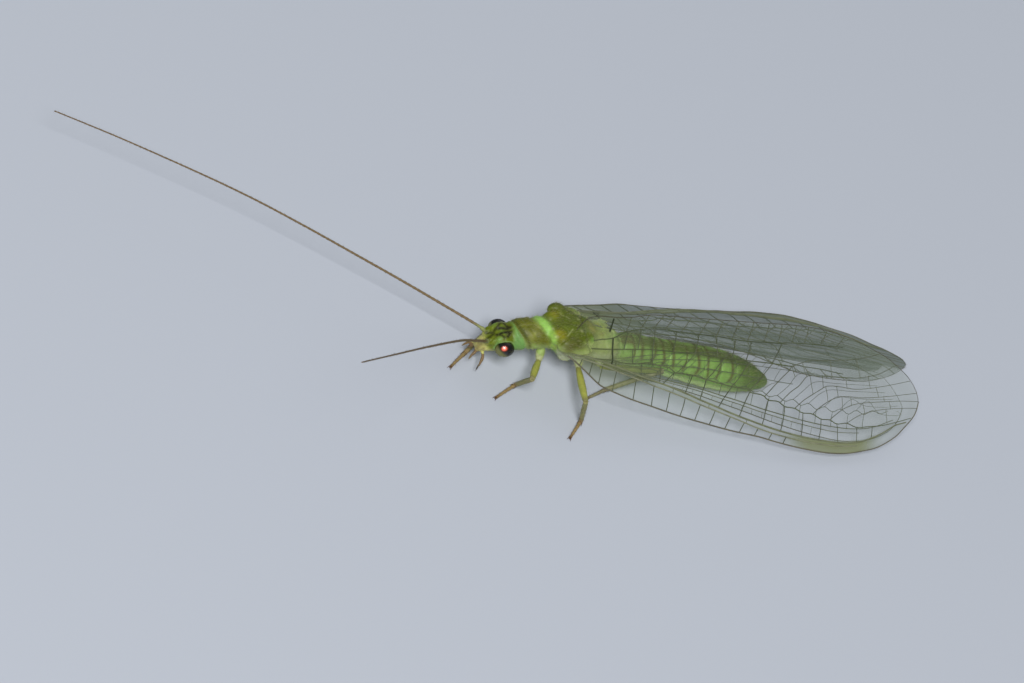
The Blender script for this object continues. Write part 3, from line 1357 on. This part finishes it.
def membrane_paint(kind, side, far, out, clear):
    """The membrane's colour at a place, and the share of the light that it holds back there."""
    if kind != "forewing":
        if side < 0:
            return [*RIGHT_TINT, 0.10 * ramp(far, 3.0, 8.0) + 0.4 * CLEAR_SHARE]
        return [*clear, 0.6 * CLEAR_SHARE]
    inner = value_on(FORE_VEINS["Sc"], far)
    stem = value_on(FORE_VEINS["R"], far)
    stigma = ramp(out, stem - 0.06, stem + 0.02) * ramp(far, 8.8, 10.4) * ramp(13.6 - far, 0, 1.3)
    strip = bump(out, (stem + inner) / 2, 0.5 * abs(inner - stem) + 0.02) * ramp(12 - far, 0, 1)
    rear = value_on(EDGES[kind, side][1], far)
    root = (1 - ramp(far, 0.8, 4.4)) * ramp(out - rear, 0.0, 1.1)
    behind = ramp(stem + 0.05 - out, 0, 0.05)
    if side < 0:
        clear, stigma = mixed(clear, RIGHT_TINT, 0.8), 0.4 * stigma
    colour = mixed(clear, MEMBRANE_ROOT, max(root, 0.8 * strip))
    colour = mixed(colour, MEMBRANE_STIGMA, stigma)
    held = CLEAR_SHARE + 0.58 * stigma + 0.09 * strip + root * (0.19 + 0.22 * behind)
    held += 0.13 * ramp(far, 11.0, 13.5)
    if side < 0:
        held += RIGHT_SHARE + 0.16 * (1 - ramp(far, 2.2, 4.8)) * ramp(out - rear, 0.2, 1.2)
        held -= 0.05 * ramp(far, 12.0, 13.5)
    return [*colour, held]


def build_membrane(kind, side, columns, clear):
    """A wing's membrane: one clear sheet between the wing's two edges, too thin to cast a shadow."""
    deselect()
    bpy.ops.mesh.primitive_grid_add(x_subdivisions=columns, y_subdivisions=MEMBRANE_ROWS, size=2)
    item = bpy.context.object
    front_edge, rear_edge = EDGES[kind, side]
    first, last = front_edge[0][0], front_edge[-1][0]
    colours = []
    for vertex in item.data.vertices:
        part = math.sin((vertex.co.x + 1) / 2 * math.pi / 2)
        across = (vertex.co.y + 1) / 2
        far = first + (last - first) * part
        front, rear = value_on(front_edge, far), value_on(rear_edge, far)
        out = rear + (front - rear) * across
        colours.append(membrane_paint(kind, side, far, out, clear))
        vertex.co = wing_point(kind, side, far, out)
    store_paint(item.data, colours)
    faced_out(weld=0.0005)
    item.visible_shadow = False
    return item


# Eyes

# The way from the left eye's centre to its red glow
GLOW_WAY = Vector((0.44, 0.62, 0.65)).normalized()
FACET_DEPTH = 0.012
SEAM_WIDTH = 0.022
SEAM_COLOUR = (0.01, 0.008, 0.006)


def eye_colour(way, side):
    """The eye's colour in a direction from its centre: a red glow, a black rim and an olive underside."""
    low = mixed(linear(12, 9, 9), linear(108, 108, 50), ramp(0.55 * way.x - way.z, -0.15, 0.40))
    if side < 0:
        return low
    angle = math.degrees(way.angle(GLOW_WAY))
    shade = mixed(linear(255, 186, 168), linear(238, 108, 80), ramp(angle, 3, 10))
    shade = mixed(shade, linear(110, 44, 26), ramp(angle, 13, 20))
    return mixed(shade, low, ramp(angle, 19, 27))


def build_eye(side):
    """A dome of many small facets: each point of a coarse ball raises the fine ball around it."""
    deselect()
    bpy.ops.mesh.primitive_ico_sphere_add(subdivisions=5, radius=1)
    coarse = bpy.context.object
    tree = KDTree(len(coarse.data.vertices))
    for i, vertex in enumerate(coarse.data.vertices):
        tree.insert(vertex.co, i)
    tree.balance()
    bpy.data.objects.remove(coarse)
    bpy.ops.mesh.primitive_ico_sphere_add(subdivisions=7, radius=1)
    eye = bpy.context.object
    centre = Vector((DOME_CENTRE.x, side * DOME_CENTRE.y, DOME_CENTRE.z))
    colours = []
    for vertex in eye.data.vertices:
        way = vertex.co.copy()
        nearest, second = [distance for _, _, distance in tree.find_n(way, 2)]
        seam = 1 - ramp(second - nearest, 0.0, SEAM_WIDTH)
        colour = eye_colour(Vector((way.x, way.y * side, way.z)), side)
        colours.append([*mixed(colour, SEAM_COLOUR, 0.35 * seam), 1.0])
        vertex.co = centre + way * DOME_RADII * (1 - FACET_DEPTH * seam)
    store_paint(eye.data, colours)
    return eye


# Bristles: thin spikes over body, legs, feelers and veins

BRISTLE_PALE = linear(186, 182, 138)
BRISTLE_DARK = linear(74, 68, 44)
BRISTLE_SEED = 11
BRISTLE_RADIUS = 0.0045
BRISTLE_SINK = 0.01
# Half the width of a bristle's patch on the map
PATCH = 0.0012
# How the bristles of the body lie, and where the face begins, on which they are shorter
BODY_LIE = Vector((-1, 0, 0.15))
FACE_START = 2.5
# Bristles of thigh, shin and foot, and of a feeler: spacing, length, lean, and start and end of their strip
LEG_BRISTLES = [
    (0.028, 0.10, 1.2, 0.0, 0.4),
    (0.022, 0.10, 1.2, 0.4, 0.75),
    (0.014, 0.07, 1.0, 0.75, 1.0),
]
FEELER_BRISTLES = (0.030, 0.065, 0.9, 0.0, 1.0)


class Bristles:
    """Collects three-sided spikes and makes one mesh of them, each with its own small patch to bake on."""

    def __init__(self):
        self.points, self.faces, self.colours, self.places = [], [], [], []

    def add(self, root, way, length, colour, place):
        first = len(self.points)
        way = way.normalized()
        side = way.orthogonal().normalized()
        other = way.cross(side)
        for i in range(3):
            turn = 2 * math.pi * i / 3
            out = side * math.cos(turn) + other * math.sin(turn)
            self.points.append(root + out * BRISTLE_RADIUS - way * BRISTLE_SINK)
            self.places.append((place[0] + PATCH * math.cos(turn), place[1] + PATCH * math.sin(turn)))
        self.points.append(root + way * length)
        self.places.append(place)
        self.colours += [[*colour, 1.0]] * 4
        a, b, c, tip = range(first, first + 4)
        self.faces += [(a, b, tip), (b, c, tip), (c, a, tip), (c, b, a)]

    def mesh(self, name):
        data = bpy.data.meshes.new(name)
        data.from_pydata(self.points, [], self.faces)
        item = bpy.data.objects.new(name, data)
        bpy.context.collection.objects.link(item)
        store_paint(data, self.colours)
        patches = data.uv_layers.new(name="OFBake")
        for loop in data.loops:
            patches.data[loop.index].uv = self.places[loop.vertex_index]
        return item


def body_place(point):
    """A root's place on the unrolled body: how far along it, and how far round it."""
    x, y, z = point
    axis = belly_axis(x) if x < -1.9 else middle_height(x)
    turn = math.atan2(y, z - axis) / (2 * math.pi) + 0.5
    return 0.01 + 0.56 * (x + 8.8) / 12.8, 0.01 + 0.97 * turn


def limb_place(strip, part, turn):
    """A root's place on an unrolled leg or feeler, which has a narrow strip of its own."""
    return 0.60 + 0.048 * strip + 0.036 * turn, 0.01 + 0.97 * part


def wing_place(strip, far, out):
    """A root's place on a flat wing, of which there are four, one above the other."""
    return 0.01 + 0.97 * min(1.0, max(0.0, far / 15.1)), (strip + 0.05 + 0.9 * (out + 2.4) / 4.9) / 4


def body_bristles(store, chance, count):
    """Bristles lying back over head, thorax and abdomen, shorter on the face."""
    skin = bpy.data.objects["skin"].data
    allowed = skin.attributes["Bristled"].data
    faces = [face for face in skin.polygons if allowed[face.vertices[0]].value > 0]
    weights = [face.area for face in faces]
    for face in chance.choices(faces, weights, k=count):
        root = Vector(face.center) / MM - SHIFT
        out = face.normal
        back = BODY_LIE - out * BODY_LIE.dot(out)
        sway = Vector([chance.uniform(-0.3, 0.3) for _ in range(3)])
        length = chance.uniform(0.10, 0.20)
        if root.x > FACE_START:
            length = chance.uniform(0.05, 0.10)
        colour = mixed(skin_colour(root)[:3], BRISTLE_PALE, 0.5)
        store.add(root, back * 0.9 + out * 0.6 + sway, length, colour, body_place(root))


def limb_bristles(store, chance, line, strip, spacing, length, lean, start, end):
    """Bristles round a tube, leaning towards its end."""
    reach = 0.0
    whole = sum((b[0] - a[0]).length for a, b in zip(line, line[1:]))
    for (point, radius), (ahead, _) in zip(line, line[1:]):
        way = ahead - point
        side = way.orthogonal().normalized()
        other = way.normalized().cross(side)
        for _ in range(max(1, round(way.length / spacing))):
            share, turn = chance.random(), chance.random()
            out = side * math.cos(2 * math.pi * turn) + other * math.sin(2 * math.pi * turn)
            root = point + way * share + out * radius * 0.9
            if root.z < -HINGE_HEIGHT + 0.04:
                continue
            part = start + (end - start) * (reach + way.length * share) / whole
            store.add(root, way.normalized() * lean + out, length * chance.uniform(0.7, 1.2), BRISTLE_DARK,
                      limb_place(strip, part, turn))
        reach += way.length


def wing_bristles(store, chance, kind, side, strip):
    """A short fringe on a wing's edges and fine bristles along its veins."""
    colour = mixed(BRISTLE_DARK, BRISTLE_PALE, 0.3)
    frame_up = wing_frame(side).to_3x3() @ UP
    for name, places in wing_lines(kind, side):
        edge = name in ("front", "rear")
        spacing = 0.07 if edge else 0.20
        for spot in smooth_path([(far, out, 0) for far, out in places], spacing):
            far, out = spot.x + chance.uniform(-0.03, 0.03), spot.y
            root = wing_point(kind, side, far, out)
            tipward = (wing_point(kind, side, far + 0.05, out) - root).normalized()
            if edge:
                outward = 0.05 if name == "front" else -0.05
                way = (wing_point(kind, side, far, out + outward) - root).normalized() + tipward * 0.8
            else:
                way = frame_up * chance.choice((-1, 1)) + tipward * 0.9
            store.add(root, way, chance.uniform(0.05, 0.08), colour, wing_place(strip, far, out))


# What a user may change

class LacewingSizes(bpy.types.PropertyGroup):
    skin_voxel: FloatProperty(
        name="Skin detail", description="Grid size of the body's skin, in millimetres",
        default=0.036, min=0.03, max=0.2)
    wing_columns: IntProperty(
        name="Wing columns", description="Faces along a wing's membrane", default=150, min=20, max=400)
    bristle_count: IntProperty(
        name="Body bristles", description="Bristles on head, thorax and abdomen",
        default=5200, min=0, max=20000)


def colour_property(name, description, default):
    return FloatVectorProperty(
        name=name, description=description, default=default, subtype="COLOR", min=0, max=1)


class LacewingColours(bpy.types.PropertyGroup):
    head: colour_property("Head", "Green of the head", GREENS["head"])
    shield: colour_property("Shield", "Olive of the shield behind the head", GREENS["shield"])
    band: colour_property("Collar", "Bright green of the collar behind the shield", GREENS["band"])
    back: colour_property("Back", "Dark olive of the back between the wings", GREENS["back"])
    belly: colour_property("Belly", "Green of the abdomen's sides", GREENS["belly"])
    membrane: colour_property("Membrane", "Tint of the clear wing membrane", (0.17, 0.21, 0.14))
    floor: colour_property("Floor", "Colour of the floor", (0.50, 0.53, 0.59))


class LACEWING_OT_skin(bpy.types.Operator):
    """Builds the one skin of head, thorax, abdomen and legs"""

    bl_idname = "lacewing.skin"
    bl_label = "Skin"

    def execute(self, context):
        sizes, colours = context.scene.lacewing_sizes, context.scene.lacewing_colours
        for name in ("head", "shield", "band", "back", "belly"):
            GREENS[name] = list(getattr(colours, name))
        trunk = trunk_mesh(sizes.skin_voxel)
        carve(trunk)
        painted(trunk, skin_colour)
        bristled(trunk)
        skin = joined([trunk, *build_legs()], "skin")
        skin.data.materials.clear()
        skin.data.materials.append(painted_material("Cuticle", subsurface=0.25))
        nodes = ["head", "prothorax", "mesothorax", "metathorax", "abdomen"]
        nodes += [f"leg_{name}" for name in LEG_JOINTS]
        placed(skin, "skin", "thorax_olive", *nodes)
        return {"FINISHED"}


class LACEWING_OT_eyes(bpy.types.Operator):
    """Builds the two domed compound eyes with their six-sided facets"""

    bl_idname = "lacewing.eyes"
    bl_label = "Eyes"

    def execute(self, context):
        material = eye_material()
        for name, side in SIDES.items():
            eye = build_eye(side)
            eye.data.materials.append(material)
            placed(eye, f"eye_dome_{name}", "eye", f"eye_{name}")
        return {"FINISHED"}


class LACEWING_OT_feelers(bpy.types.Operator):
    """Builds the two long ringed feelers"""

    bl_idname = "lacewing.feelers"
    bl_label = "Feelers"

    def execute(self, context):
        material = painted_material("Feeler", roughness=0.6, coat=0.0, height=0.000004)
        for name in SIDES:
            feeler = build_feeler(name)
            feeler.data.materials.append(material)
            placed(feeler, f"feeler_thread_{name}", "feeler", f"feeler_{name}")
        return {"FINISHED"}


class LACEWING_OT_claws(bpy.types.Operator):
    """Builds the hooked claws, pads and spurs of the six feet"""

    bl_idname = "lacewing.claws"
    bl_label = "Claws"

    def execute(self, context):
        lines = []
        for joints in LEG_JOINTS.values():
            lines += claw_lines(joints)
        claws = tubes("claws", lines, 2)
        store_paint(claws.data, [[*CLAW_COLOUR, 1.0]] * len(claws.data.vertices))
        claws.data.materials.append(painted_material("Claw", roughness=0.3))
        placed(claws, "claws", "leg")
        return {"FINISHED"}


class LACEWING_OT_wings(bpy.types.Operator):
    """Builds the four wings: clear membranes with their nets of veins"""

    bl_idname = "lacewing.wings"
    bl_label = "Wings"

    def execute(self, context):
        columns = context.scene.lacewing_sizes.wing_columns
        clear_colour = list(context.scene.lacewing_colours.membrane)
        clear = membrane_material()
        net = painted_material("Wing Vein", spread=1.2, scale=3000.0, coat=0.0, height=0.000003)
        for kind in ("forewing", "hindwing"):
            for name, side in SIDES.items():
                membrane = build_membrane(kind, side, columns, clear_colour)
                membrane.data.materials.append(clear)
                placed(membrane, f"{kind}_membrane_{name}", "wing", f"{kind}_{name}")
                veins = build_veins(kind, side)
                veins.data.materials.clear()
                veins.data.materials.append(net)
                placed(veins, f"{kind}_veins_{name}", "wing", f"{kind}_{name}")
        return {"FINISHED"}


class LACEWING_OT_bristles(bpy.types.Operator):
    """Sets short bristles on body, legs, feelers and wings, each lying the way it grows"""

    bl_idname = "lacewing.bristles"
    bl_label = "Bristles"

    def execute(self, context):
        chance = random.Random(BRISTLE_SEED)
        sizes = context.scene.lacewing_sizes
        body, wings = Bristles(), Bristles()
        body_bristles(body, chance, sizes.bristle_count)
        for strip, joints in enumerate(LEG_JOINTS.values()):
            for line, row in zip(leg_lines(joints), LEG_BRISTLES):
                limb_bristles(body, chance, line, strip, *row)
        for strip, name in enumerate(SIDES, start=len(LEG_JOINTS)):
            limb_bristles(body, chance, feeler_line(name), strip, *FEELER_BRISTLES)
        for strip, (kind, side) in enumerate(EDGES):
            wing_bristles(wings, chance, kind, side, strip)
        fine = painted_material("Bristle", spread=0.8, scale=12000.0, coat=0.0)
        pieces = ((body, "bristles_body", "thorax_olive"), (wings, "bristles_wings", "wing"))
        for store, name, slot in pieces:
            item = store.mesh(name)
            item.data.materials.append(fine)
            placed(item, name, slot)
        return {"FINISHED"}


# The stage

FLOOR_SIZE = 4.0
SKY_COLOUR = (0.80, 0.86, 0.92, 1)
SKY_STRENGTH = 0.22
# The soft lights: name, place, width and power. The key stands close to the camera's line
LIGHTS = [
    ("key", (0.18, 0.26, 0.36), 0.14, 2.25),
    ("fill", (-0.28, -0.34, 0.42), 0.50, 0.35),
]
# The photograph's view: two of the camera's axes in the insect's frame, and the pixel of the insect's origin
CAMERA_RIGHT = Vector((-0.8729, 0.2515, 0.4173))
CAMERA_BACK = Vector((0.481, 0.581, 0.656))
PIXELS_PER_MM = 28.0
IMAGE_SIZE = (1024, 683)
ORIGIN_PIXEL = (575.0, 335.0)
LENS_MM = 800.0
SENSOR_MM = 36.0


def set_camera():
    """A long lens in the photograph's direction, at its scale."""
    right = CAMERA_RIGHT.normalized()
    back = CAMERA_BACK.normalized()
    up = back.cross(right).normalized()
    right = up.cross(back).normalized()
    focal = LENS_MM * IMAGE_SIZE[0] / SENSOR_MM
    distance = focal / PIXELS_PER_MM
    aside = (ORIGIN_PIXEL[0] - IMAGE_SIZE[0] / 2) / PIXELS_PER_MM
    above = (IMAGE_SIZE[1] / 2 - ORIGIN_PIXEL[1]) / PIXELS_PER_MM
    place = (SHIFT + back * distance - right * aside - up * above) * MM
    deselect()
    bpy.ops.object.camera_add(location=place)
    camera = bpy.context.object
    camera.rotation_euler = Matrix((right, up, back)).transposed().to_euler()
    camera.data.lens = LENS_MM
    camera.data.sensor_width = SENSOR_MM
    bpy.context.scene.camera = camera


class LACEWING_OT_stage(bpy.types.Operator):
    """Sets the pale floor, the soft lights and the camera"""

    bl_idname = "lacewing.stage"
    bl_label = "Stage"

    def execute(self, context):
        deselect()
        bpy.ops.mesh.primitive_plane_add(size=FLOOR_SIZE, location=(0, 0, 0))
        floor = context.object
        floor.name = "floor"
        material, tree, shader = new_material("Floor")
        colour = (*context.scene.lacewing_colours.floor, 1)
        feed(tree, shader, {"Base Color": colour, "Roughness": 0.9, "Specular IOR Level": 0.1})
        floor.data.materials.append(material)
        world = bpy.data.worlds.new("Studio")
        world.use_nodes = True
        tree = world.node_tree
        feed(tree, tree.nodes["Background"], {"Color": SKY_COLOUR, "Strength": SKY_STRENGTH})
        context.scene.world = world
        context.scene.view_settings.view_transform = "Standard"
        for name, place, size, power in LIGHTS:
            bpy.ops.object.light_add(type="AREA", location=place)
            light = context.object
            light.name = name
            light.data.size = size
            light.data.energy = power
            light.rotation_euler = (-Vector(place)).to_track_quat("-Z", "Y").to_euler()
        set_camera()
        return {"FINISHED"}


class LACEWING_PT_panel(bpy.types.Panel):
    """Lists the lacewing's sizes and the buttons that build it"""

    bl_label = "Green Lacewing"
    bl_idname = "LACEWING_PT_panel"
    bl_space_type = "VIEW_3D"
    bl_region_type = "UI"
    bl_category = "Lacewing"

    def draw(self, context):
        layout = self.layout
        for group in (context.scene.lacewing_sizes, context.scene.lacewing_colours):
            for name in group.__annotations__:
                layout.prop(group, name)
        for step in STEPS:
            layout.operator(f"lacewing.{step}")


STEPS = ("skin", "eyes", "feelers", "claws", "wings", "bristles", "stage")
CLASSES = (LacewingSizes, LacewingColours, LACEWING_OT_skin, LACEWING_OT_eyes, LACEWING_OT_feelers,
           LACEWING_OT_claws, LACEWING_OT_wings, LACEWING_OT_bristles, LACEWING_OT_stage, LACEWING_PT_panel)


def register():
    for item in CLASSES:
        bpy.utils.register_class(item)
    bpy.types.Scene.lacewing_sizes = PointerProperty(type=LacewingSizes)
    bpy.types.Scene.lacewing_colours = PointerProperty(type=LacewingColours)


def unregister():
    del bpy.types.Scene.lacewing_colours
    del bpy.types.Scene.lacewing_sizes
    for item in reversed(CLASSES):
        bpy.utils.unregister_class(item)


def main():
    register()
    for step in STEPS:
        getattr(bpy.ops.lacewing, step)()


if __name__ == "__main__":
    main()
